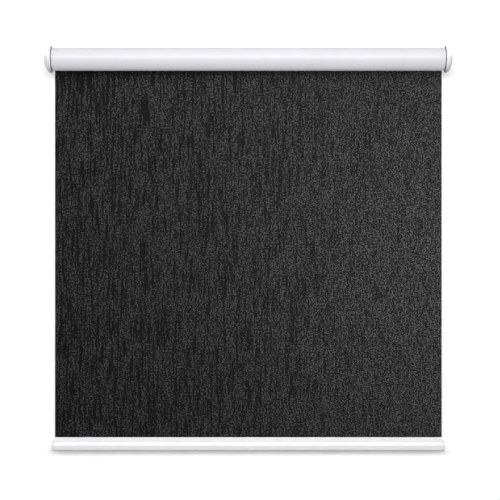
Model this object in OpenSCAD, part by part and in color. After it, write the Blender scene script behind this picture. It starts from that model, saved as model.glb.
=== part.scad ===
// Cordless roller blind, face-fixed to a wall by two brackets.
// A sprung tube lifts the fabric, and two pawls hold it at any height.
// +Z is up, +Y points into the wall, and the origin is on the wall, midway
// between the brackets and level with the roller's axis.

/* [Overall] */
// Width over both end covers
overall_w = 800; // [600:10:1200]
// Depth from the roller's axis down to the top of the bottom rail
drop = 745; // [500:5:1600]
// Distance from the wall to the roller's axis
axis_out = 32; // [31:0.5:45]

/* [Roller] */
// Outside radius of the aluminium tube
tube_r = 21.5; // [21:0.1:22.5]
// Wall of the tube
tube_wall = 1.5; // [1.2:0.1:1.6]
// Number of turns of fabric left on the tube when the blind is down
safety_turns = 3; // [2:1:4]
// Thickness of the fabric
cloth_t = 0.42; // [0.3:0.02:0.6]

/* [End covers] */
// Radius of a cover's rim
cover_r = 27; // [26.5:0.5:30]
// Depth of a cover's dome
cover_depth = 14; // [13:0.5:18]
// Wall of a cover
cover_wall = 1.8; // [1.4:0.1:2.2]

/* [Brackets] */
// Height of a bracket's foot
bracket_h = 38; // [36:1:44]
// Radius of the round end of a bracket's arm
arm_r = 15; // [14.5:0.5:17]
// Reach of a bracket's foot along the wall
foot_w = 26; // [22:1:40]
// Distance between a foot's two screw holes
screw_pitch = 24; // [18:1:26]
// Radius of a screw hole
screw_r = 2.25; // [1.75:0.25:2.5]

/* [Bottom rail] */
// Thickness of the rail's bulb, which is round on top
bulb_t = 13; // [11:0.5:13]
// Height of the rail's bulb
bulb_h = 16; // [15:0.5:20]
// Radius of the bulb's lower corners
bulb_low_r = 3; // [2.5:0.25:3.5]
// Height of the neck that grips the fabric
neck_h = 10; // [10:0.5:14]

/* [Hidden] */
$fn = 96;
over = 1; // how far a cutting tool runs past what it cuts

// Places along X, measured outwards from the middle of the blind
cover_in = overall_w / 2 - cover_depth; // rim of a cover
cover_lap = 1; // how far the rim reaches over a bracket's arm
arm_t = 2; // bracket steel
arm_out = cover_in + cover_lap;
arm_in = arm_out - arm_t;
flange_gap = 0.5;
flange_out = arm_in - flange_gap;
flange_t = 2;
tube_end = flange_out - flange_t; // end of the tube, fabric and rail

// Roller
tube_in_r = tube_r - tube_wall;
roll_r = tube_r + safety_turns * cloth_t;
flange_r = roll_r - 0.25;
rib_angles = [45, 135, 315];
rib_w = 2;
rib_in_r = 18;
key_angle = 225; // the channel that holds the fabric's bead
key_w = 6;
key_in_r = 16.2;
bead_seat_r = 1.6;
bead_r = 1.45;
bead_at = key_in_r + 0.8 + bead_seat_r;
key_mouth = 1.4;
slot_play = 0.1; // play between a plug's slots and the tube's ribs
running = 0.05; // radial play of what turns or slides

// Sprung idle pin
pin_r = 3;
pin_tip = arm_out + 3.5;
pin_tip_chamfer = 0.8;
pin_collar_r = 4.6;
pin_collar_t = 2;
chamber_out = tube_end - 4.5;
chamber_in = tube_end - 32.5;
chamber_r = 5;
chamber_cap_t = 4;
pin_tail_r = 2.2;
pin_tail_l = 10;
pin_spring_wire = 0.5;
pin_spring_r = 3.6;
pin_spring_turns = 9;
idle_plug_in = chamber_in;
hub_r = 8;
rim_in_r = 16.8;
web_t = 1.6;
web_count = 6;

// Spring shaft, which a bracket holds still
shaft_r = 4;
shaft_in = 140;
spear_t = 3;
spear_out = arm_out + 3.5;
circlip_at = tube_end - 52;
circlip_t = 1.2;
circlip_r = 7;
circlip_seat_r = 3.4;
anchor_in = 160;
anchor_out = 184;
anchor_r = 8;
anchor_flange_r = 11;
anchor_flange_t = 4;
anchor_pin_r = 1.25;
disc_in = 146;
disc_out = 152;

// Spring and its plug
boss_r = 7.8;
boss_in = tube_end - 50;
plug_in = tube_end - 36.5;
pocket_in = tube_end - 14.5;
pocket_r = 15;
spigot_t = 3;
spring_wire = 0.9;
spring_r = 9.1;
spring_in = 166;
spring_out = plug_in - 1.5;
spring_turns = 34;
flange_screw_r = 1.5;
flange_screw_head_r = 2.9;
flange_screw_at = 17.6;
flange_screw_l = 12;

// Ratchet and pawls, drawn looking along -X with the pivot of the upper pawl on the right
ratchet_r = 7.5;
ratchet_in = tube_end - 11.5;
ratchet_out = tube_end - 5;
ratchet_notches = 4;
notch = [[0.1, 5.3], [2.2, 5.0], [4.6, 7.2], [6, 12], [0.1, 12]];
ratchet_pin_r = 1;
ratchet_pin_angle = 45;
pawl_in = tube_end - 10.5;
pawl_out = tube_end - 6;
pawl_pivot = [6, 10.6];
pawl_tip = [0, 9];
pawl_half_t = 1.1;
pawl_eye_r = 2.4;
pawl_pin_r = 1.5;
pawl_pin_in = pocket_in - 4;
pawl_pin_out = tube_end - 1.5;

// Bracket fittings
bush_r = 4.5;
bush_flange_r = 7;
bush_flange_t = 1.5;
socket_r = 7;
socket_plate_r = 9.5;
socket_plate_t = 2;
socket_bar = [8, 28.5];
socket_play = 0.1;
rivet_r = 1.5;
rivet_head_r = 2.6;
rivet_head_t = 0.9;
rivet_at = 11.5;
peg_r = 1.45;
peg_hole_r = 1.5;
peg_at = 12;
rim_w = 3.3; // width and thickness of the ring inside a cover's rim
rim_t = 1.5;
notch_play = 0.2;
bend_r = 1.5; // inside radius of a bracket's bend
foot_corner_r = 4;
foot_in = arm_out - foot_w;
screw_x = foot_in + 11;

// Fabric and rail, where the cloth hangs just behind the roll
cloth_y = -axis_out + roll_r + 0.1 + cloth_t / 2;
rail_top = -drop;
neck_t = 5;
neck_slot = 0.9;
neck_lip = 3;
spline_room = [3, 6];
spline_t = 2.6;
spline_h = 5.2;
spline_slit = 0.5;
spline_slit_h = 3.4;
cloth_tuck = 5; // cloth held inside the rail
bulb_wall = 1.2;
bulb_r = bulb_t / 2;
bulb_taper = 0.8; // how much narrower the bulb is at each lower corner
bulb_foot = bulb_r - bulb_low_r - bulb_taper; // half the flat underside
bulb_top = rail_top - neck_h;
rail_bottom = bulb_top - bulb_h;
weight = [5, 8];
weight_short = 12; // how far the weight stops short of the rail's ends
cap_t = 5.5;
cap_neck_drop = 6;
cap_tongue = 9;
cap_corner_r = 2;

coil_steps = 12; // rings in one turn of a coil
wire_sides = 6;

// ---- helpers ----

// A 2-D outline drawn in (Y, Z), run along X from x0 to x1
module along_x(x0, x1) {
    translate([x0, 0, 0]) rotate([90, 0, 90]) linear_extrude(height = x1 - x0) children();
}

// The same, drawn about the roller's axis
module on_axis(x0, x1) {
    translate([0, -axis_out, 0]) along_x(x0, x1) children();
}

// A disc or shaft on the roller's axis
module round_bar(x0, x1, r) {
    on_axis(x0, x1) circle(r = r);
}

// A round bar parallel to the roller's axis, at [y, z] from it
module side_bar(x0, x1, r, at) {
    on_axis(x0, x1) translate(at) circle(r = r);
}

module left_side() {
    mirror([1, 0, 0]) children();
}

module half_turn() {
    translate([0, -axis_out, 0]) rotate([180, 0, 0]) translate([0, axis_out, 0]) children();
}

// Section of the rail's bulb: round on top, tapered down to two rounded corners, top at z = 0
module bulb_shape(r, low_r, h) {
    low = low_r - h;
    lean = atan2(low + r, bulb_foot) + acos((r - low_r) / norm([bulb_foot, low + r]));
    high_y = r * cos(lean);
    high_z = r * sin(lean) - r;
    low_y = low_r * cos(lean) + bulb_foot;
    low_z = low_r * sin(lean) + low;
    translate([0, -r]) circle(r = r);
    for (y = [-1, 1] * bulb_foot) translate([y, low]) circle(r = low_r);
    polygon([[-high_y, high_z], [-low_y, low_z], [low_y, low_z], [high_y, high_z]]);
    translate([-bulb_foot, -h]) square([2 * bulb_foot, low_r]);
}

module rounded_rect(w, h, r) {
    translate([r, 0]) square([w - 2 * r, h]);
    translate([0, r]) square([w, h - 2 * r]);
    for (x = [r, w - r], y = [r, h - r]) translate([x, y]) circle(r = r);
}

// A coil of round wire about the roller's axis, swept by a polyhedron
module coil(x0, x1, r, wire, turns) {
    steps = turns * coil_steps;
    pitch = (x1 - x0 - 2 * wire) / turns;
    function ring(i) = [
        for (k = [0 : wire_sides - 1])
            let (a = 360 * i / coil_steps, b = 360 * k / wire_sides, d = r + wire * cos(b))
            [x0 + wire + pitch * i / coil_steps + wire * sin(b), d * cos(a) - axis_out, d * sin(a)]
    ];
    points = [for (i = [0 : steps]) each ring(i)];
    sides = [
        for (i = [0 : steps - 1], k = [0 : wire_sides - 1])
            let (n = (k + 1) % wire_sides, a = i * wire_sides, b = a + wire_sides)
            [a + k, a + n, b + n, b + k]
    ];
    first = [for (k = [wire_sides - 1 : -1 : 0]) k];
    last = [for (k = [0 : wire_sides - 1]) steps * wire_sides + k];
    polyhedron(points = points, faces = concat(sides, [first, last]), convexity = 10);
}

// ---- brackets and covers ----

// Plan of the bent strip: a foot along the wall and an arm out from it
module bracket_plan() {
    bend_x = arm_in - bend_r;
    translate([foot_in, -arm_t]) square([bend_x - foot_in, arm_t]);
    translate([arm_in, -axis_out - arm_r]) square([arm_t, axis_out + arm_r - arm_t - bend_r]);
    translate([bend_x, -arm_t - bend_r]) intersection() {
        difference() {
            circle(r = bend_r + arm_t);
            circle(r = bend_r);
        }
        square(bend_r + arm_t);
    }
}

// Side view of the arm, which narrows from the foot to its round end
module arm_outline() {
    straight = arm_t + bend_r;
    half_h = bracket_h / 2;
    translate([-axis_out, 0]) circle(r = arm_r);
    polygon([
        [0, -half_h], [0, half_h], [-straight, half_h],
        [-axis_out, arm_r], [-axis_out, -arm_r], [-straight, -half_h]
    ]);
}

module bracket_blank() {
    difference() {
        intersection() {
            translate([0, 0, -bracket_h]) linear_extrude(height = 2 * bracket_h) bracket_plan();
            along_x(foot_in - over, arm_out + over) arm_outline();
            translate([foot_in, over, -bracket_h / 2]) rotate([90, 0, 0])
                linear_extrude(height = axis_out + bracket_h)
                    rounded_rect(foot_w + 2 * foot_corner_r, bracket_h, foot_corner_r);
        }
        for (z = [-1, 1] * screw_pitch / 2)
            translate([screw_x, over, z]) rotate([90, 0, 0]) cylinder(h = arm_t + 2 * over, r = screw_r);
        for (y = [-1, 1] * peg_at) side_bar(arm_in - over, arm_out + over, peg_hole_r, [y, 0]);
    }
}

module bracket_left() {
    color("whitesmoke") left_side() difference() {
        bracket_blank();
        round_bar(arm_in - over, arm_out + over, bush_r);
    }
}

module bracket_right() {
    color("whitesmoke") difference() {
        bracket_blank();
        round_bar(arm_in - over, arm_out + over, socket_r);
        for (z = [-1, 1] * rivet_at) side_bar(arm_in - over, arm_out + over, rivet_r, [0, z]);
    }
}

// Half section of a cover, as [radius, height above the rim]: a quarter ellipse
// outside and inside, and a ring inside the rim
module cover_section() {
    function quarter(r, h, from) = [for (a = [from : 7.5 : 90]) [r * cos(a), h * sin(a)]];
    inner_r = cover_r - cover_wall;
    inner_h = cover_depth - cover_wall;
    inner = quarter(inner_r, inner_h, 15);
    polygon(concat(
        quarter(cover_r, cover_depth, 0),
        [for (i = [len(inner) - 1 : -1 : 0]) inner[i]],
        [[inner_r, rim_t], [cover_r - rim_w, rim_t], [cover_r - rim_w, 0]]
    ));
}

// Domed cap on two pegs, notched at the back for the bracket's arm
module cover() {
    peg_share = peg_at / (cover_r - cover_wall);
    peg_room = (cover_depth - cover_wall) * sqrt(1 - pow(peg_share, 2));
    notch_half = bracket_h / 2 + notch_play;
    difference() {
        translate([cover_in, -axis_out, 0]) rotate([0, 90, 0]) rotate_extrude() cover_section();
        translate([cover_in - over, -axis_out, -notch_half])
            cube([over + cover_lap + notch_play, axis_out, 2 * notch_half]);
    }
    for (y = [-1, 1] * peg_at) side_bar(arm_in, cover_in + peg_room + 0.8, peg_r, [y, 0]);
}

module cover_left() { color("white") left_side() cover(); }

module cover_right() { color("white") cover(); }

module pin_bush() {
    color("gainsboro") left_side() difference() {
        union() {
            round_bar(arm_in, arm_out, bush_r);
            round_bar(arm_out, arm_out + bush_flange_t, bush_flange_r);
        }
        round_bar(arm_in - over, arm_out + bush_flange_t + over, pin_r + running);
    }
}

// Moulded seat whose slot stops the spring shaft from turning
module spear_socket() {
    slot = [spear_t + 2 * socket_play, 2 * (shaft_r + socket_play)];
    color("gainsboro") difference() {
        union() {
            round_bar(arm_in, arm_out, socket_r);
            round_bar(arm_out, arm_out + socket_plate_t, socket_plate_r);
            on_axis(arm_out, arm_out + socket_plate_t) translate(-socket_bar / 2) square(socket_bar);
        }
        on_axis(arm_in - over, arm_out + socket_plate_t + over) translate(-slot / 2) square(slot);
        for (z = [-1, 1] * rivet_at)
            side_bar(arm_out - over, arm_out + socket_plate_t + over, rivet_r, [0, z]);
    }
}

module socket_rivets() {
    color("silver") for (z = [-1, 1] * rivet_at) {
        side_bar(arm_in, arm_out + socket_plate_t, rivet_r, [0, z]);
        side_bar(arm_out + socket_plate_t, arm_out + socket_plate_t + rivet_head_t, rivet_head_r, [0, z]);
    }
}

// ---- the shaft and what is fixed to it ----

module spring_shaft() {
    color("darkgray") difference() {
        union() {
            round_bar(shaft_in, arm_in, shaft_r);
            intersection() {
                round_bar(arm_in, spear_out, shaft_r);
                on_axis(arm_in, spear_out) square([spear_t, 3 * shaft_r], center = true);
            }
        }
        difference() {
            round_bar(circlip_at, circlip_at + circlip_t, shaft_r + over);
            round_bar(circlip_at - over, circlip_at + circlip_t + over, circlip_seat_r);
        }
        cross_bar((ratchet_in + ratchet_out) / 2, ratchet_pin_angle, ratchet_pin_r, 2 * shaft_r + over);
        cross_bar((anchor_in + anchor_out) / 2, 0, anchor_pin_r, 2 * shaft_r + over);
    }
}

// A pin across the roller's axis, at an angle from upright
module cross_bar(x, angle, r, l) {
    translate([x, -axis_out, 0]) rotate([angle, 0, 0]) cylinder(h = l, r = r, center = true);
}

module shaft_circlip() {
    color("dimgray") on_axis(circlip_at, circlip_at + circlip_t) difference() {
        circle(r = circlip_r);
        circle(r = circlip_seat_r);
        translate([-1.5, 0]) square([3, 2 * circlip_r]);
    }
}

module shaft_anchor() {
    color("dimgray") difference() {
        union() {
            round_bar(anchor_in - anchor_flange_t, anchor_in, anchor_flange_r);
            round_bar(anchor_in, anchor_out, anchor_r);
        }
        round_bar(anchor_in - anchor_flange_t - over, anchor_out + over, shaft_r);
        cross_bar((anchor_in + anchor_out) / 2, 0, anchor_pin_r, 3 * anchor_r);
    }
}

module anchor_pin() {
    color("silver") cross_bar((anchor_in + anchor_out) / 2, 0, anchor_pin_r, 2 * anchor_r - 0.4);
}

module ratchet_wheel() {
    color("silver") difference() {
        on_axis(ratchet_in, ratchet_out) difference() {
            circle(r = ratchet_r);
            circle(r = shaft_r);
            for (i = [0 : ratchet_notches - 1]) rotate(i * 360 / ratchet_notches) polygon(notch);
        }
        cross_bar((ratchet_in + ratchet_out) / 2, ratchet_pin_angle, ratchet_pin_r, 3 * ratchet_r);
    }
}

module ratchet_pin() {
    color("gray") cross_bar(
        (ratchet_in + ratchet_out) / 2, ratchet_pin_angle, ratchet_pin_r, 2 * ratchet_r - 0.6
    );
}

module torsion_spring() {
    color("slategray") coil(spring_in, spring_out, spring_r, spring_wire, spring_turns);
}

// ---- the roller ----

// A rib on the inside of the tube, grown by play on each side
module tube_rib(angle, w, in_r, play = 0) {
    rotate(angle) translate([in_r - play, -w / 2 - play]) square([tube_r - 0.5 - in_r + play, w + 2 * play]);
}

module rib_slots() {
    for (a = rib_angles) tube_rib(a, rib_w, rib_in_r, slot_play);
    tube_rib(key_angle, key_w, key_in_r, slot_play);
}

module roller_tube() {
    color("lightgray") on_axis(-tube_end, tube_end) difference() {
        union() {
            difference() {
                circle(r = tube_r);
                circle(r = tube_in_r);
            }
            for (a = rib_angles) tube_rib(a, rib_w, rib_in_r);
            tube_rib(key_angle, key_w, key_in_r);
        }
        rotate(key_angle) {
            translate([bead_at, 0]) circle(r = bead_seat_r);
            translate([bead_at, -key_mouth / 2]) square([tube_r, key_mouth]);
        }
    }
}

module fabric_roll() {
    color("ghostwhite") on_axis(-tube_end, tube_end) difference() {
        circle(r = roll_r);
        circle(r = tube_r);
    }
}

module fabric_bead() {
    color("white") on_axis(-tube_end + 1, tube_end - 1)
        rotate(key_angle) translate([bead_at, 0]) circle(r = bead_r);
}

module idle_plug() {
    color("white") left_side() difference() {
        union() {
            round_bar(tube_end, flange_out, flange_r);
            round_bar(idle_plug_in, tube_end, hub_r);
            on_axis(idle_plug_in, tube_end) difference() {
                circle(r = tube_in_r);
                circle(r = rim_in_r);
                rib_slots();
            }
            on_axis(idle_plug_in, tube_end) for (i = [0 : web_count - 1])
                rotate(i * 360 / web_count) translate([hub_r - over, -web_t / 2])
                    square([rim_in_r + 2 * over - hub_r, web_t]);
        }
        round_bar(chamber_in - over, chamber_out, chamber_r);
        round_bar(chamber_out - over, flange_out + over, pin_r + running);
    }
}

module pin_chamber_cap() {
    color("lightgray") left_side() round_bar(chamber_in, chamber_in + chamber_cap_t, chamber_r);
}

module idle_pin() {
    collar_in = chamber_out - pin_collar_t;
    tip = pin_tip - pin_tip_chamfer;
    color("silver") left_side() {
        round_bar(chamber_out, tip, pin_r);
        translate([tip, -axis_out, 0]) rotate([0, 90, 0])
            cylinder(h = pin_tip_chamfer, r1 = pin_r, r2 = pin_r - pin_tip_chamfer);
        round_bar(collar_in, chamber_out, pin_collar_r);
        round_bar(collar_in - pin_tail_l, collar_in, pin_tail_r);
    }
}

module pin_spring() {
    color("slategray") left_side() coil(
        chamber_in + chamber_cap_t, chamber_out - pin_collar_t,
        pin_spring_r, pin_spring_wire, pin_spring_turns
    );
}

module spring_plug() {
    color("lightgray") difference() {
        union() {
            on_axis(plug_in, tube_end) difference() {
                circle(r = tube_in_r);
                rib_slots();
            }
            round_bar(boss_in, plug_in, boss_r);
        }
        round_bar(boss_in - over, tube_end + over, shaft_r + running);
        round_bar(pocket_in, tube_end + over, pocket_r);
        pawl_places() side_bar(pawl_pin_in, tube_end, pawl_pin_r, pawl_pivot);
        for (y = [-1, 1] * flange_screw_at)
            side_bar(flange_out - flange_screw_l, tube_end + over, flange_screw_r, [y, 0]);
    }
}

module pawl_places() {
    children();
    half_turn() children();
}

module spring_plug_flange() {
    color("white") difference() {
        union() {
            round_bar(tube_end, flange_out, flange_r);
            round_bar(tube_end - spigot_t, tube_end, pocket_r);
        }
        round_bar(tube_end - spigot_t - over, flange_out + over, shaft_r + running);
        pawl_places() side_bar(tube_end - spigot_t - over, pawl_pin_out, pawl_pin_r, pawl_pivot);
        for (y = [-1, 1] * flange_screw_at) {
            side_bar(tube_end - over, flange_out + over, flange_screw_r, [y, 0]);
            screw_head(y);
        }
    }
}

// Countersunk head, flush with the flange
module screw_head(y) {
    head_t = flange_screw_head_r - flange_screw_r;
    translate([flange_out - head_t, y - axis_out, 0]) rotate([0, 90, 0])
        cylinder(h = head_t, r1 = flange_screw_r, r2 = flange_screw_head_r);
}

module flange_screws() {
    color("silver") for (y = [-1, 1] * flange_screw_at) {
        side_bar(flange_out - flange_screw_l, flange_out - 1, flange_screw_r, [y, 0]);
        screw_head(y);
    }
}

module pawl_pins() {
    color("gray") pawl_places() side_bar(pawl_pin_in, pawl_pin_out, pawl_pin_r, pawl_pivot);
}

// A pawl lifted clear of the ratchet; it swings down about its pin into a notch
module pawl() {
    reach = pawl_tip - pawl_pivot;
    along = atan2(reach[1], reach[0]);
    on_axis(pawl_in, pawl_out) translate(pawl_pivot) difference() {
        union() {
            circle(r = pawl_eye_r);
            rotate(along) translate([0, -pawl_half_t]) square([norm(reach), 2 * pawl_half_t]);
        }
        circle(r = pawl_pin_r + running);
    }
}

module pawl_upper() { color("dimgray") pawl(); }

module pawl_lower() { color("dimgray") half_turn() pawl(); }

// Keeps the inner end of the shaft in the middle of the tube
module centring_disc() {
    color("lightgray") on_axis(disc_in, disc_out) difference() {
        circle(r = tube_in_r);
        circle(r = shaft_r + running);
        rib_slots();
        for (a = [0 : 90 : 270]) rotate(a) translate([11, 0]) circle(r = 3.5);
    }
}

// ---- fabric and bottom rail ----

module fabric_panel() {
    color("black") translate([-tube_end, cloth_y - cloth_t / 2, rail_top - cloth_tuck])
        cube([2 * tube_end, cloth_t, drop + cloth_tuck]);
}

// Outer section of the rail: a thin neck on a bulb, top at z = 0
module rail_section() {
    translate([0, -neck_h]) bulb_shape(bulb_r, bulb_low_r, bulb_h);
    translate([-neck_t / 2, -neck_h - bulb_r]) square([neck_t, neck_h + bulb_r]);
}

module bulb_hollow(shrink = 0) {
    inset = bulb_wall + shrink;
    translate([0, -neck_h - inset]) bulb_shape(bulb_r - inset, bulb_low_r - inset, bulb_h - 2 * inset);
}

module rail_at(x0, x1) {
    translate([0, cloth_y, rail_top]) along_x(x0, x1) children();
}

module bottom_rail() {
    color("white") rail_at(-tube_end, tube_end) difference() {
        rail_section();
        bulb_hollow();
        translate([-neck_slot / 2, -neck_lip - over]) square([neck_slot, neck_lip + 2 * over]);
        translate([-spline_room[0] / 2, -neck_lip - spline_room[1]]) square(spline_room);
    }
}

module rail_spline() {
    color("gainsboro") rail_at(-tube_end, tube_end) translate([0, -neck_lip]) difference() {
        translate([-spline_t / 2, -spline_h]) square([spline_t, spline_h]);
        translate([-spline_slit / 2, -spline_slit_h]) square([spline_slit, spline_slit_h + over]);
    }
}

module rail_weight() {
    corner_r = bulb_low_r - bulb_wall;
    over_corner = max(0, weight[0] / 2 - bulb_foot);
    corner_lift = corner_r - sqrt(corner_r * corner_r - over_corner * over_corner);
    floor_z = -neck_h - bulb_h + bulb_wall + corner_lift;
    color("darkgray") rail_at(-tube_end + weight_short, tube_end - weight_short)
        translate([-weight[0] / 2, floor_z]) square(weight);
}

module rail_cap() {
    color("white") {
        rail_at(tube_end, tube_end + cap_t) {
            translate([0, -neck_h]) bulb_shape(bulb_r, bulb_low_r, bulb_h);
            translate([-neck_t / 2, -neck_h - bulb_r]) square([neck_t, neck_h + bulb_r - cap_neck_drop]);
        }
        rail_at(tube_end - cap_tongue, tube_end) bulb_hollow(0.1);
    }
}

module rail_cap_left() { left_side() rail_cap(); }

module rail_cap_right() { rail_cap(); }

bracket_left();
bracket_right();
cover_left();
cover_right();
pin_bush();
spear_socket();
socket_rivets();
spring_shaft();
shaft_circlip();
shaft_anchor();
anchor_pin();
ratchet_wheel();
ratchet_pin();
torsion_spring();
roller_tube();
fabric_roll();
fabric_bead();
idle_plug();
pin_chamber_cap();
idle_pin();
pin_spring();
spring_plug();
spring_plug_flange();
flange_screws();
pawl_pins();
pawl_upper();
pawl_lower();
centring_disc();
fabric_panel();
bottom_rail();
rail_spline();
rail_weight();
rail_cap_left();
rail_cap_right();
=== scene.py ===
"""Looks of a cordless roller blind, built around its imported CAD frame.

Lengths are in metres. X runs along the roller, Y into the wall and Z up. The origin is on the
wall, level with the roller's axis. Sizes come from the boxes of the CAD nodes.
"""
import math

import bmesh
import bpy
from mathutils import Matrix, Vector, noise


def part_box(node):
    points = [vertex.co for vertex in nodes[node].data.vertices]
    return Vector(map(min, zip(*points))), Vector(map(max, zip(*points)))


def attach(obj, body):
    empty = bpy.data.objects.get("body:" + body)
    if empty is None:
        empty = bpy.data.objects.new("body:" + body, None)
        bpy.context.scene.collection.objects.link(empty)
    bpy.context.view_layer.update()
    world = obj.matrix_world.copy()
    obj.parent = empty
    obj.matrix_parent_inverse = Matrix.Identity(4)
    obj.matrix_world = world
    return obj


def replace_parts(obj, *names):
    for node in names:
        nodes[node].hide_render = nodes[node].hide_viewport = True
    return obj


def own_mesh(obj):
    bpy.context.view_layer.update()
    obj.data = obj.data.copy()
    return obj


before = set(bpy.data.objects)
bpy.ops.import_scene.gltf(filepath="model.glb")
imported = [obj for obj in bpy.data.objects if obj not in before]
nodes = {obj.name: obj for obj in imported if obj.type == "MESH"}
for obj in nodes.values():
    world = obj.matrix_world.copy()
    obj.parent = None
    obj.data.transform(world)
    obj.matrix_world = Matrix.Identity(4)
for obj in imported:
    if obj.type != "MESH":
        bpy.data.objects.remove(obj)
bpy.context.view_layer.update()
scene = bpy.context.scene
MM = 0.001

# ---- sizes taken from the frame ----

roll_low, roll_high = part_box("fabric_roll")
tube_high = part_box("roller_tube")[1]
panel_low, panel_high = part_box("fabric_panel")
rail_low, rail_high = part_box("bottom_rail")
cap_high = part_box("rail_cap_right")[1]
cover_low, cover_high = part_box("cover_right")

axis_y = (roll_low.y + roll_high.y) / 2
roll_r = roll_high.z
tube_r = tube_high.z
cloth_t = panel_high.y - panel_low.y
cloth_y = (panel_high.y + panel_low.y) / 2
cloth_half = panel_high.x
rail_top = rail_high.z

# ---- camera, wall, floor and light ----

CAMERA_DISTANCE = 2.8  # from the roller's axis
VIEW_W = 0.9812  # width of the view at the roller's axis
VIEW_MIDDLE = Vector((0.0032, 0.0, -0.3746))
SENSOR = 36.0


def add_camera():
    data = bpy.data.cameras.new("camera")
    data.sensor_width = SENSOR
    data.lens = SENSOR * CAMERA_DISTANCE / VIEW_W
    data.clip_end = 50
    camera = bpy.data.objects.new("camera", data)
    camera.location = VIEW_MIDDLE + Vector((0, axis_y - CAMERA_DISTANCE, 0))
    camera.rotation_euler = (math.radians(90), 0, 0)
    scene.collection.objects.link(camera)
    scene.camera = camera


def add_area_light(name, at, aim, size, watts):
    data = bpy.data.lights.new(name, "AREA")
    data.shape = "RECTANGLE"
    data.size, data.size_y = size
    data.energy = watts
    light = bpy.data.objects.new(name, data)
    light.location = at
    light.rotation_euler = (Vector(aim) - Vector(at)).to_track_quat("-Z", "Y").to_euler()
    scene.collection.objects.link(light)
    return light


# ---- materials ----


def grey(value):
    return (value, value, value)


def scaled(colour, k):
    return tuple(c * k for c in colour)


def set_stops(color_ramp, stops):
    """Gives a colour ramp its stops: (place from 0 to 1, colour), in rising order."""
    elements = color_ramp.elements
    elements.remove(elements[1])
    elements[0].position = stops[0][0]
    for at, _ in stops[1:]:
        elements.new(at)
    for element, (_, colour) in zip(elements, stops):
        element.color = (*colour, 1)


class Look:
    """A Principled material with object coordinates, and short ways to add nodes to it."""

    def __init__(self, name):
        self.material = bpy.data.materials.new(name)
        self.material.use_nodes = True
        self.tree = self.material.node_tree
        self.shader = self.tree.nodes["Principled BSDF"]
        self.place = self.tree.nodes.new("ShaderNodeTexCoord").outputs["Object"]

    def set(self, **sockets):
        for name, value in sockets.items():
            self.shader.inputs[name.replace("_", " ")].default_value = value
        return self

    def wire(self, socket, source):
        self.tree.links.new(source, self.shader.inputs[socket])
        return self

    def along_x(self):
        split = self.tree.nodes.new("ShaderNodeSeparateXYZ")
        self.tree.links.new(self.place, split.inputs[0])
        return split.outputs["X"]

    def noise(self, cell, detail=3.0, rough=0.5, shift=0.0):
        """Noise whose cells are about cell = (x, y, z) metres; a cell of 0 leaves that way constant."""
        mapping = self.tree.nodes.new("ShaderNodeMapping")
        mapping.inputs["Scale"].default_value = [1 / c if c else 0 for c in cell]
        mapping.inputs["Location"].default_value = (shift, shift * 1.7, shift * 0.6)
        self.tree.links.new(self.place, mapping.inputs["Vector"])
        texture = self.tree.nodes.new("ShaderNodeTexNoise")
        texture.inputs["Scale"].default_value = 1.0
        texture.inputs["Detail"].default_value = detail
        texture.inputs["Roughness"].default_value = rough
        self.tree.links.new(mapping.outputs["Vector"], texture.inputs["Vector"])
        return texture.outputs["Fac"]

    def threads(self, pitch, across, wobble=0.3):
        """Rounded threads a pitch apart, side by side along the axis named across."""
        wave = self.tree.nodes.new("ShaderNodeTexWave")
        wave.wave_type = "BANDS"
        wave.bands_direction = across
        wave.wave_profile = "SIN"
        wave.inputs["Scale"].default_value = math.pi / 10 / pitch
        wave.inputs["Distortion"].default_value = wobble
        wave.inputs["Detail"].default_value = 1.0
        wave.inputs["Detail Scale"].default_value = 2.0
        self.tree.links.new(self.place, wave.inputs["Vector"])
        return wave.outputs["Fac"]

    def math(self, how, a, b=0.0, clamp=False):
        node = self.tree.nodes.new("ShaderNodeMath")
        node.operation = how
        node.use_clamp = clamp
        for socket, value in zip(node.inputs, (a, b)):
            if isinstance(value, (int, float)):
                socket.default_value = value
            else:
                self.tree.links.new(value, socket)
        return node.outputs[0]

    def remap(self, value, low, high, to_low, to_high, smooth=False):
        node = self.tree.nodes.new("ShaderNodeMapRange")
        node.interpolation_type = "SMOOTHSTEP" if smooth else "LINEAR"
        self.tree.links.new(value, node.inputs["Value"])
        names = ("From Min", "From Max", "To Min", "To Max")
        for name, number in zip(names, (low, high, to_low, to_high)):
            node.inputs[name].default_value = number
        return node.outputs["Result"]

    def ramp(self, value, *stops):
        node = self.tree.nodes.new("ShaderNodeValToRGB")
        set_stops(node.color_ramp, stops)
        self.tree.links.new(value, node.inputs["Fac"])
        return node.outputs["Color"]

    def mix(self, amount, a, b):
        node = self.tree.nodes.new("ShaderNodeMix")
        node.data_type = "RGBA"
        for name, value in (("Factor", amount), ("A", a), ("B", b)):
            socket = [s for s in node.inputs if s.name == name and s.enabled][0]
            if isinstance(value, (int, float)):
                socket.default_value = value
            elif isinstance(value, tuple):
                socket.default_value = (*value, 1)
            else:
                self.tree.links.new(value, socket)
        return [s for s in node.outputs if s.enabled][0]

    def bump(self, height, depth, strength=1.0):
        node = self.tree.nodes.new("ShaderNodeBump")
        node.inputs["Strength"].default_value = strength
        node.inputs["Distance"].default_value = depth
        self.tree.links.new(height, node.inputs["Height"])
        self.tree.links.new(node.outputs["Normal"], self.shader.inputs["Normal"])
        return self


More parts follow.
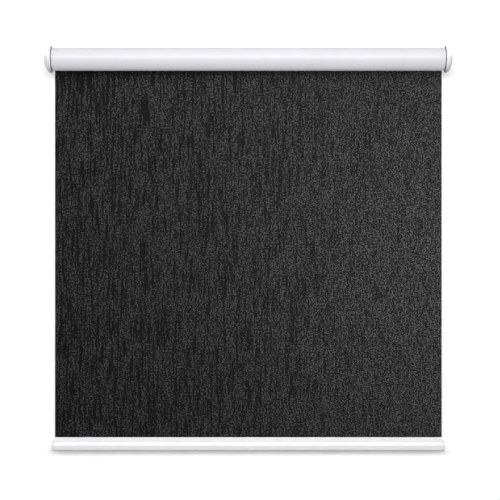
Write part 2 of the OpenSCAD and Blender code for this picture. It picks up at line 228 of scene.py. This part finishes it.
def moulded(name, colour, rough=0.3, texture=0.006, grain=0.0025):
    """Moulded plastic: faint flow in the colour, and a fine skin that breaks up the gloss."""
    look = Look(name).set(IOR=1.49, Specular_IOR_Level=0.5)
    flow = look.noise((0.03, 0.03, 0.03), detail=2)
    look.wire("Base Color", look.ramp(flow, (0.3, scaled(colour, 0.97)), (0.7, colour)))
    skin = look.noise((grain, grain, grain), detail=4, rough=0.6, shift=3.1)
    look.wire("Roughness", look.remap(skin, 0.3, 0.7, rough - 0.05, rough + 0.07))
    look.bump(skin, texture * MM * 5)
    return look.material


def powder_coat(name, colour, rough=0.38):
    """Powder coat: a soft orange peel, with specks of uneven build."""
    look = Look(name).set(IOR=1.5)
    peel = look.noise((0.0016, 0.0016, 0.0016), detail=2, rough=0.4)
    build = look.noise((0.02, 0.02, 0.02), detail=3, shift=5.2)
    look.wire("Base Color", look.ramp(build, (0.3, scaled(colour, 0.96)), (0.7, colour)))
    look.wire("Roughness", look.remap(build, 0.3, 0.7, rough - 0.04, rough + 0.06))
    look.bump(peel, 0.03 * MM)
    return look.material


def metal(name, colour, rough=0.32, grain=(0.02, 0.0004, 0.0004), depth=0.01):
    """Bare metal with drawn or turned grain, longest along the first of the grain's sizes."""
    look = Look(name).set(Metallic=1.0)
    lines = look.noise(grain, detail=4, rough=0.65)
    stain = look.noise((0.012, 0.012, 0.012), detail=4, shift=7.7)
    look.wire("Base Color", look.ramp(stain, (0.25, scaled(colour, 0.82)), (0.75, colour)))
    look.wire("Roughness", look.remap(lines, 0.3, 0.7, rough - 0.08, rough + 0.14))
    look.bump(lines, depth * MM)
    return look.material


# The weave's mean tone, and the contrast of its short marks, its middling marks and its slubs
WEAVE_LEVEL = 0.44
WEAVE_FINE = 6.4
WEAVE_MID = 1.6
# The slubs fade from left to right. This fade is painted sheen: it stands in for the gloss that washes
# them out on the right, and it paints the left side darker.
WEAVE_SLUB_SHEEN_FADE = (1.2, 0.1)  # on the left and on the right


def black_weave():
    """Black slubbed cloth: uneven upright threads, thin cross threads and loose dark slubs."""
    look = Look("black_weave").set(IOR=1.45, Specular_IOR_Level=0.085)
    fine = look.noise((0.0026, 0, 0.0032), detail=2, rough=0.6)
    mid = look.noise((0.0030, 0, 0.012), detail=1, rough=0.5, shift=4.3)
    slub = look.noise((0.0040, 0, 0.055), detail=2, rough=0.5, shift=2.2)
    # Painted sheen: the slubs' strength falls from the left edge to the right edge of the cloth.
    strength = look.remap(look.along_x(), -cloth_half, cloth_half, *WEAVE_SLUB_SHEEN_FADE)
    marks = look.math("MULTIPLY", look.remap(slub, 0.50, 0.64, 0, 1, smooth=True), strength)
    warp = look.threads(0.9 * MM, "X")
    weft = look.threads(0.8 * MM, "Z")

    tone = look.math("MULTIPLY", look.math("SUBTRACT", fine, 0.5), WEAVE_FINE)
    tone = look.math("ADD", tone, look.math("MULTIPLY", look.math("SUBTRACT", mid, 0.5), WEAVE_MID))
    tone = look.math("SUBTRACT", tone, marks)
    level = look.math("ADD", tone, WEAVE_LEVEL, clamp=True)
    shade = look.math("POWER", level, 2.4)
    look.wire("Base Color", look.ramp(shade, (0, grey(0.001)), (1, grey(0.052))))
    look.wire("Roughness", look.remap(level, 0.1, 0.8, 0.60, 0.28))

    yarn = look.math("MAXIMUM", warp, look.math("MULTIPLY", weft, 0.8))
    relief = look.math("ADD", look.math("MULTIPLY", tone, 1.0), look.math("MULTIPLY", yarn, 0.25))
    look.bump(relief, 0.10 * MM)
    return look.material


def white_coating():
    """White coated reverse: smooth, with the weave only just showing through."""
    look = Look("white_coating").set(IOR=1.45)
    colour = (0.735, 0.727, 0.765)
    cloud = look.noise((0.04, 0.04, 0.06), detail=3)
    look.wire("Base Color", look.ramp(cloud, (0.3, scaled(colour, 0.975)), (0.7, colour)))
    weave = look.math("ADD", look.threads(0.9 * MM, "X"), look.threads(0.8 * MM, "Z"))
    slub = look.noise((0.003, 0.02, 0.02), detail=2, shift=1.3)
    relief = look.math("ADD", look.math("MULTIPLY", weave, 0.3), slub)
    look.wire("Roughness", look.remap(slub, 0.3, 0.7, 0.34, 0.46))
    look.bump(relief, 0.03 * MM)
    return look.material


WHITE = (0.85, 0.85, 0.86)
cover_white = moulded("cover_white", WHITE, rough=0.28)
plug_white = moulded("plug_white", scaled(WHITE, 0.97), rough=0.35)
cap_white = moulded("cap_white", scaled(WHITE, 0.98), rough=0.35)
plug_grey = moulded("plug_grey", (0.34, 0.345, 0.36), rough=0.5)
nylon = moulded("nylon", (0.70, 0.68, 0.62), rough=0.45)
bead_white = moulded("bead_white", (0.74, 0.74, 0.74), rough=0.5)
bracket_coat = powder_coat("bracket_coat", (0.80, 0.80, 0.81))
rail_coat = powder_coat("rail_coat", (0.92, 0.915, 0.935), rough=0.33)
zinc = metal("zinc", (0.60, 0.60, 0.62))
black_steel = metal("black_steel", (0.16, 0.16, 0.17), rough=0.42)
spring_wire = metal("spring_wire", (0.30, 0.31, 0.33), rough=0.36, grain=(0.0006, 0.004, 0.004))
mill_aluminium = metal("mill_aluminium", (0.72, 0.73, 0.75), rough=0.3, grain=(0.05, 0.0005, 0.0005))
cloth_black = black_weave()
cloth_white = white_coating()

# ---- building pieces ----


def add_piece(name, bm, materials, body, sharp=35):
    """Makes a piece of a bmesh, smooth but for edges over sharp degrees, riding on a body."""
    bmesh.ops.recalc_face_normals(bm, faces=bm.faces)
    mesh = bpy.data.meshes.new(name)
    bm.to_mesh(mesh)
    bm.free()
    mesh.shade_smooth()
    mesh.set_sharp_from_angle(angle=math.radians(sharp))
    for material in materials:
        mesh.materials.append(material)
    piece = bpy.data.objects.new(name, mesh)
    scene.collection.objects.link(piece)
    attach(piece, body)
    return piece


def arc(centre, r, start, end, steps):
    """Points on an arc, from start to end in degrees, both ends included."""
    angles = [math.radians(start + (end - start) * i / steps) for i in range(steps + 1)]
    return [(centre[0] + r * math.cos(a), centre[1] + r * math.sin(a)) for a in angles]


def lathe(profile, steps=128):
    """A closed (x, r) outline turned about the roller's axis. Points with r = 0 become poles."""
    bm = bmesh.new()
    rings = []
    for x, r in profile:
        if r < 1e-7:
            rings.append([bm.verts.new((x, axis_y, 0))] * steps)
            continue
        turn = [2 * math.pi * k / steps for k in range(steps)]
        rings.append([bm.verts.new((x, axis_y + r * math.cos(a), r * math.sin(a))) for a in turn])
    for ring, after in zip(rings, rings[1:] + rings[:1]):
        for k in range(steps):
            n = (k + 1) % steps
            corners = list(dict.fromkeys([ring[k], ring[n], after[n], after[k]]))
            if len(corners) > 2:
                bm.faces.new(corners)
    return bm


def extrude(outlines, x0, x1, cuts=1):
    """Closed (y, z) outlines run from x0 to x1. The first is the outside and the rest are holes."""
    bm = bmesh.new()
    ends = ([], [])
    for outline in outlines:
        loops = []
        for i in range(cuts + 1):
            x = x0 + (x1 - x0) * i / cuts
            loops.append([bm.verts.new((x, y, z)) for y, z in outline])
        for near, far in zip(loops, loops[1:]):
            for k in range(len(outline)):
                n = (k + 1) % len(outline)
                bm.faces.new((near[k], near[n], far[n], far[k]))
        for side, loop in zip(ends, (loops[0], loops[-1])):
            side += [bm.edges.get((loop[k], loop[(k + 1) % len(loop)])) for k in range(len(loop))]
    for side in ends:
        bmesh.ops.triangle_fill(bm, edges=side, use_beauty=True)
    return bm


def add_bar(bm, x0, x1, r, y, z, steps=24):
    """A round bar along X, added to a mesh."""
    made = bmesh.ops.create_cone(
        bm, cap_ends=True, segments=steps, radius1=r, radius2=r, depth=x1 - x0,
        matrix=Matrix.Translation(((x0 + x1) / 2, y, z)) @ Matrix.Rotation(math.pi / 2, 4, "Y"),
    )
    return made["verts"]


def mirror_x(bm):
    for v in bm.verts:
        v.co.x = -v.co.x
    return bm


def soften(piece, width, segments=2, angle=35, weld=False):
    """Small rounded edges, so that they catch the light."""
    if weld:
        piece.modifiers.new("weld", "WELD").merge_threshold = 0.002 * MM
    bevel = piece.modifiers.new("bevel", "BEVEL")
    bevel.width = width
    bevel.segments = segments
    bevel.limit_method = "ANGLE"
    bevel.angle_limit = math.radians(angle)
    bevel.harden_normals = False
    return piece


# ---- end covers ----

COVER_WALL = 1.8 * MM
RIM_ROUND = 1.1 * MM
RING_W = 3.3 * MM  # the ring inside the rim, and its thickness
RING_T = 1.5 * MM
PEG_R = 1.45 * MM
PEG_AT = 12 * MM
PEG_REACH = 1 * MM  # how far the pegs stand out of the rim
NOTCH_DEPTH = 1.2 * MM  # room for the bracket's arm, at the back of the rim
NOTCH_HALF = 49  # degrees
cover_r = cover_high.z
rim_x = cover_low.x + PEG_REACH


def cover_profile():
    """(x, r) outline of a domed shell, from the pole outside, round the rim and back inside."""
    depth = cover_high.x - rim_x
    inner_r = cover_r - COVER_WALL
    outside = [(rim_x + depth * s, cover_r * c) for c, s in arc((0, 0), 1, 90, 0, 48)]
    ring = [(rim_x, cover_r - RING_W), (rim_x + RING_T, cover_r - RING_W), (rim_x + RING_T, inner_r)]
    inside = [(rim_x + (depth - COVER_WALL) * s, inner_r * c) for c, s in arc((0, 0), 1, 15, 90, 24)]
    return outside + ring + inside


def cover(name, side):
    bm = lathe(cover_profile(), steps=180)
    for v in bm.verts:
        if abs(math.degrees(math.atan2(v.co.z, v.co.y - axis_y))) < NOTCH_HALF:
            v.co.x = max(v.co.x, rim_x + NOTCH_DEPTH)
    room = (cover_high.x - rim_x - COVER_WALL) * math.sqrt(1 - (PEG_AT / (cover_r - COVER_WALL)) ** 2)
    for at in (-PEG_AT, PEG_AT):
        add_bar(bm, cover_low.x, rim_x + room + 0.5 * MM, PEG_R, axis_y + at, 0)
    if side < 0:
        mirror_x(bm)
    piece = add_piece(name, bm, [cover_white], "wall_mount")
    soften(piece, RIM_ROUND, segments=3, angle=50)
    return piece


for side, word in ((-1, "left"), (1, "right")):
    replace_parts(cover(f"end_cover_{word}", side), f"cover_{word}")

# ---- cloth ----

PANEL_COLUMNS = 72
PANEL_ROWS = 96
LIP_DEGREES = 6
LIP_ROWS = 3


def panel_wave(x, z):
    """How far the hanging cloth stands off its plane: slight cupping at the edges and faint waves."""
    along = min(max(-z / -rail_top, 0), 1)
    calm = math.sin(math.pi * along) ** 0.7 if 0 < along < 1 else 0
    edge = abs(x / cloth_half) ** 8
    wave = noise.noise(Vector((x * 5, z * 2.2, 3.7)))
    return calm * (0.45 * MM * wave + 0.7 * MM * edge)


def panel_row(t):
    """Where row t of the cloth lies: (y, z, thickness) on its back face."""
    length = -panel_low.z
    back = cloth_y + cloth_t / 2
    if t <= PANEL_ROWS:
        return back, panel_low.z + length * t / PANEL_ROWS, cloth_t
    part = (t - PANEL_ROWS) / LIP_ROWS
    angle = math.radians(LIP_DEGREES * part)
    r = back - axis_y
    return axis_y + r * math.cos(angle), r * math.sin(angle), cloth_t * (1 - 0.85 * part)


def hanging_cloth():
    """A closed sheet, black in front (material 0) and white behind (material 1)."""
    bm = bmesh.new()
    front, back = [], []
    for t in range(PANEL_ROWS + LIP_ROWS + 1):
        y, z, thick = panel_row(t)
        xs = [-cloth_half + 2 * cloth_half * k / PANEL_COLUMNS for k in range(PANEL_COLUMNS + 1)]
        back.append([bm.verts.new((x, y + panel_wave(x, z), z)) for x in xs])
        front.append([bm.verts.new((x, y + panel_wave(x, z) - thick, z)) for x in xs])
    for layer, slot in ((front, 0), (back, 1)):
        for low, high in zip(layer, layer[1:]):
            for k in range(PANEL_COLUMNS):
                face = bm.faces.new((low[k], low[k + 1], high[k + 1], high[k]))
                face.material_index = slot
    rims = [(front[0], back[0]), (front[-1], back[-1])]
    rims += [([row[k] for row in front], [row[k] for row in back]) for k in (0, -1)]
    for near, far in rims:
        for k in range(len(near) - 1):
            bm.faces.new((near[k], near[k + 1], far[k + 1], far[k]))
    return add_piece("hanging_cloth", bm, [cloth_black, cloth_white], "rail", sharp=50)


panel = hanging_cloth()
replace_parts(panel, "fabric_panel")
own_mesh(panel)

ROLL_STEPS = 120  # a turn
ROLL_COLUMNS = 24
ROUND_TURN = 0.75  # the part of the outer turn that keeps its full radius


def wound_cloth():
    """The turns left on the tube: one spiral sheet, white outside and black inside."""
    turns = (roll_r - tube_r) / cloth_t
    count = round(turns * ROLL_STEPS)
    bm = bmesh.new()
    outer, inner = [], []
    for i in range(count + 1):
        turn = i / ROLL_STEPS
        angle = 2 * math.pi * turn
        r = roll_r - cloth_t * max(turn - ROUND_TURN, 0) * turns / (turns - ROUND_TURN)
        taper = min(1, i / 5, (count - i) / 5)
        thick = cloth_t * (0.1 + 0.87 * taper)
        inward = 0.25 * MM * (0.5 + 0.5 * noise.noise(Vector((turn * 1.3, 0.5, 2.1))))
        half = cloth_half - inward
        xs = [-half + 2 * half * k / ROLL_COLUMNS for k in range(ROLL_COLUMNS + 1)]
        y, z = math.cos(angle), math.sin(angle)
        outer.append([bm.verts.new((x, axis_y + r * y, r * z)) for x in xs])
        inner.append([bm.verts.new((x, axis_y + (r - thick) * y, (r - thick) * z)) for x in xs])
    for layer, slot in ((outer, 0), (inner, 1)):
        for low, high in zip(layer, layer[1:]):
            for k in range(ROLL_COLUMNS):
                face = bm.faces.new((low[k], low[k + 1], high[k + 1], high[k]))
                face.material_index = slot
    rims = [(outer[0], inner[0]), (outer[-1], inner[-1])]
    rims += [([row[k] for row in outer], [row[k] for row in inner]) for k in (0, -1)]
    for near, far in rims:
        for k in range(len(near) - 1):
            bm.faces.new((near[k], near[k + 1], far[k + 1], far[k]))
    piece = add_piece("wound_cloth", bm, [cloth_white, cloth_black], "roller", sharp=50)
    wound = sum(2 * math.pi * (roll_r - cloth_t * (k + 0.5)) for k in range(round(turns)))
    return piece, wound


roll, roll_length = wound_cloth()
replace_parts(roll, "fabric_roll")

# ---- bottom rail ----

NECK_HALF = 2.5 * MM
NECK_H = 10 * MM
SLOT_HALF = 0.45 * MM
LIP_H = 3 * MM
ROOM = (1.5 * MM, 6 * MM)
FILLET = 3 * MM
LIP_ROUND = 1 * MM
LOW_R = 3 * MM  # lower corners of the bulb
TAPER = 0.8 * MM  # how much narrower the bulb is at each lower corner
bulb_r = (rail_high.y - rail_low.y) / 2
foot = bulb_r - LOW_R - TAPER  # half the flat underside
upper_z = rail_top - NECK_H - bulb_r
lower_z = rail_low.z + LOW_R
drop_z = lower_z - upper_z
lean = math.degrees(math.atan2(drop_z, foot) + math.acos((bulb_r - LOW_R) / math.hypot(foot, drop_z)))


def bulb_half(fillet_steps=5):
    """(y, z) points down one side of the rail, from the neck to the bottom."""
    reach = bulb_r + FILLET
    out = NECK_HALF + FILLET
    fillet_z = upper_z + math.sqrt(reach ** 2 - out ** 2)
    tangent = math.degrees(math.atan2(fillet_z - upper_z, out))
    side = arc((out, fillet_z), FILLET, 180, 180 + tangent, fillet_steps)
    side += arc((0, upper_z), bulb_r, tangent, lean, 13)
    side += arc((foot, lower_z), LOW_R, lean, -90, 8)
    return side


def rail_outline():
    """Outside of the rail, with the mouth and the room for the spline."""
    down = arc((NECK_HALF - LIP_ROUND, rail_top - LIP_ROUND), LIP_ROUND, 90, 0, 5) + bulb_half()
    up = [(-y, z) for y, z in reversed(down)]
    mouth = [
        (-SLOT_HALF, rail_top), (-SLOT_HALF, rail_top - LIP_H), (-ROOM[0], rail_top - LIP_H),
        (-ROOM[0], rail_top - LIP_H - ROOM[1]), (ROOM[0], rail_top - LIP_H - ROOM[1]),
        (ROOM[0], rail_top - LIP_H), (SLOT_HALF, rail_top - LIP_H), (SLOT_HALF, rail_top),
    ]
    return [(cloth_y + y, z) for y, z in down + up + mouth]


def rail_hollow(wall=1.2 * MM):
    points = arc((0, upper_z), bulb_r - wall, lean, 180 - lean, 18)
    points += arc((-foot, lower_z), LOW_R - wall, 180 - lean, 270, 6)
    points += arc((foot, lower_z), LOW_R - wall, 270, 360 + lean, 6)
    return [(cloth_y + y, z) for y, z in points]


rail = add_piece(
    "rail_body", extrude([rail_outline(), rail_hollow()], rail_low.x, rail_high.x, cuts=8),
    [rail_coat], "rail", sharp=40,
)
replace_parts(rail, "bottom_rail")

# ---- rail end caps ----

CAP_NECK_DROP = 6 * MM
CAP_ROUND = 1.5 * MM


def cap_outline():
    top = rail_top - CAP_NECK_DROP
    down = arc((NECK_HALF - LIP_ROUND, top - LIP_ROUND), LIP_ROUND, 90, 0, 4) + bulb_half()
    up = [(-y, z) for y, z in reversed(down)]
    return [(cloth_y + y, z) for y, z in down + up]


def rail_cap(name, side):
    bm = extrude([cap_outline()], rail_high.x, cap_high.x)
    if side < 0:
        mirror_x(bm)
    piece = add_piece(name, bm, [cap_white], "rail", sharp=40)
    soften(piece, CAP_ROUND, segments=4, angle=60)
    return piece


for side, word in ((-1, "left"), (1, "right")):
    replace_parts(rail_cap(f"end_cap_{word}", side), f"rail_cap_{word}")

# ---- the idle pin's spring ----

COIL_WIRE_R = 0.5 * MM
COIL_TURNS = 9
COIL_STEPS = 24  # rings a turn


def pin_coil(sides=10):
    """Round wire wound about the roller's axis, with closed ends."""
    low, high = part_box("pin_spring")
    r = high.z - COIL_WIRE_R
    count = COIL_TURNS * COIL_STEPS
    pitch = (high.x - low.x - 2 * COIL_WIRE_R) / count
    bm = bmesh.new()
    rings = []
    for i in range(count + 1):
        turn = 2 * math.pi * i / COIL_STEPS
        ring = []
        for k in range(sides):
            around = 2 * math.pi * k / sides
            out = r + COIL_WIRE_R * math.cos(around)
            x = high.x - COIL_WIRE_R - pitch * i - COIL_WIRE_R * math.sin(around)
            ring.append(bm.verts.new((x, axis_y + out * math.cos(turn), out * math.sin(turn))))
        rings.append(ring)
    for near, far in zip(rings, rings[1:]):
        for k in range(sides):
            n = (k + 1) % sides
            bm.faces.new((near[k], near[n], far[n], far[k]))
    bm.faces.new(rings[0])
    bm.faces.new(rings[-1])
    piece = add_piece("pin_coil", bm, [spring_wire], "roller", sharp=60)
    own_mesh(piece)
    return piece


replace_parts(pin_coil(), "pin_spring")

# ---- CAD nodes that show as they are ----

FINISHES = {
    "bracket_left": bracket_coat, "bracket_right": bracket_coat,
    "pin_bush": nylon, "spear_socket": nylon, "socket_rivets": zinc,
    "spring_shaft": zinc, "shaft_circlip": black_steel, "shaft_anchor": black_steel,
    "anchor_pin": zinc, "ratchet_wheel": zinc, "ratchet_pin": black_steel,
    "torsion_spring": spring_wire,
    "roller_tube": mill_aluminium, "fabric_bead": bead_white,
    "idle_plug": plug_white, "pin_chamber_cap": plug_grey, "idle_pin": zinc,
    "spring_plug": plug_grey, "spring_plug_flange": plug_white, "flange_screws": zinc,
    "pawl_pins": zinc, "pawl_upper": black_steel, "pawl_lower": black_steel,
    "centring_disc": plug_grey, "rail_spline": bead_white, "rail_weight": zinc,
}
EDGES = {"bracket_left": 0.35 * MM, "bracket_right": 0.35 * MM, "idle_plug": 0.4 * MM,
         "spring_plug_flange": 0.4 * MM}

for name, material in FINISHES.items():
    for slot in nodes[name].material_slots:
        slot.material = material
for name, width in EDGES.items():
    soften(nodes[name], width, weld=True)

# ---- stage ----


def stage_plane(name, size, at, rotation, look):
    bm = bmesh.new()
    bmesh.ops.create_grid(bm, x_segments=1, y_segments=1, size=0.5)
    for v in bm.verts:
        v.co = Vector((v.co.x * size[0], v.co.y * size[1], 0))
    mesh = bpy.data.meshes.new(name)
    bm.to_mesh(mesh)
    bm.free()
    plane = bpy.data.objects.new(name, mesh)
    plane.location = at
    plane.rotation_euler = rotation
    mesh.materials.append(look.material)
    scene.collection.objects.link(plane)
    return plane


def wall_look():
    """White wall that shows only from the room's side."""
    look = Look("wall_white").set(Base_Color=(0.93, 0.93, 0.93, 1), Roughness=0.9, Specular_IOR_Level=0)
    look.set(Emission_Color=(1, 1, 1, 1), Emission_Strength=WALL_GLOW)
    tree = look.tree
    back = tree.nodes.new("ShaderNodeNewGeometry").outputs["Backfacing"]
    clear = tree.nodes.new("ShaderNodeBsdfTransparent")
    mix = tree.nodes.new("ShaderNodeMixShader")
    tree.links.new(back, mix.inputs["Fac"])
    tree.links.new(look.shader.outputs[0], mix.inputs[1])
    tree.links.new(clear.outputs[0], mix.inputs[2])
    tree.links.new(mix.outputs[0], tree.nodes["Material Output"].inputs["Surface"])
    return look


FLOOR_Z = -1.25
WALL_GLOW = 0.21
wall = stage_plane(
    "wall", (7.0, 4.0), (0, 0.0004, FLOOR_Z + 2.0), (math.radians(90), 0, 0), wall_look()
)
wall.visible_diffuse = False
wall.visible_glossy = False
wall.visible_transmission = False
wall.visible_shadow = False
floor_look = Look("floor_pale").set(Base_Color=(0.86, 0.86, 0.86, 1), Roughness=0.8)
floor = stage_plane("floor", (9.0, 9.0), (0, 0, FLOOR_Z), (0, 0, 0), floor_look)
floor.visible_diffuse = False
floor.visible_glossy = False
floor.visible_shadow = False

# Brightness of the light tent round the object, by height: the sine of the angle above level
TENT = ((-0.65, 0.6), (-0.55, 0.0), (0.17, 0.0), (0.23, 2.54), (0.57, 2.54), (0.63, 0.0))


def add_world():
    """White surround for the camera, and bands of soft light for the object."""
    world = bpy.data.worlds.new("studio")
    world.use_nodes = True
    scene.world = world
    tree = world.node_tree
    brightest = max(level for _, level in TENT)

    def joined(kind, source, **settings):
        node = tree.nodes.new(kind)
        for name, value in settings.items():
            node.inputs[name.replace("_", " ")].default_value = value
        tree.links.new(source, node.inputs[0])
        return node

    place = tree.nodes.new("ShaderNodeTexCoord")
    split = joined("ShaderNodeSeparateXYZ", place.outputs["Generated"])
    height = joined("ShaderNodeMapRange", split.outputs["Z"], From_Min=-1)
    bands = joined("ShaderNodeValToRGB", height.outputs["Result"])
    set_stops(bands.color_ramp, [((z + 1) / 2, grey(level / brightest)) for z, level in TENT])
    glow = joined("ShaderNodeMapRange", bands.outputs["Color"], To_Max=brightest)
    ray = tree.nodes.new("ShaderNodeLightPath")
    seen = joined("ShaderNodeMapRange", ray.outputs["Is Camera Ray"], To_Max=1.0)
    tree.links.new(glow.outputs["Result"], seen.inputs["To Min"])
    sky = tree.nodes["Background"]
    sky.inputs["Color"].default_value = (1, 1, 1, 1)
    tree.links.new(seen.outputs["Result"], sky.inputs["Strength"])


def lit_only(light, pieces):
    """Keeps a light, and the shadows it casts, to some pieces alone."""
    lit = bpy.data.collections.new(f"lit_by_{light.name}")
    for piece in pieces:
        lit.objects.link(piece)
    light.light_linking.receiver_collection = lit
    light.light_linking.blocker_collection = lit


# Lights: (where, aimed at, size, watts)
KEY = ((0, -1.1, 0.2), (0, 0, -0.7), (1.4, 0.4), 8.3)
SHEEN = ((0.9, -2.4, -0.42), (0.25, 0, -0.4), (0.35, 0.5), 66)
FILL = ((0, 0.15, -0.7), (0, axis_y, 0), (0.9, 0.03), 2.0)
STRIP_AT = (0.9, -0.10, 0)
STRIP_SIZE = (0.1, 0.3)
STRIP_WATTS = 0.35


def add_lights():
    """A key above the front, a gloss on the cloth, a fill under the roll and a strip at each end."""
    add_area_light("key", *KEY)
    sheen = add_area_light("sheen", *SHEEN)
    sheen.visible_diffuse = False
    lit_only(sheen, [panel])
    fill = add_area_light("fill", *FILL)
    fill.visible_camera = False
    lit_only(fill, [roll])
    for side in (-1, 1):
        at = (side * STRIP_AT[0], STRIP_AT[1], STRIP_AT[2])
        strip = add_area_light(f"strip_{side}", at, (0, axis_y, 0), STRIP_SIZE, STRIP_WATTS)
        strip.visible_camera = False


add_world()
add_lights()
add_camera()
scene.view_settings.view_transform = "Standard"
scene.view_settings.look = "None"
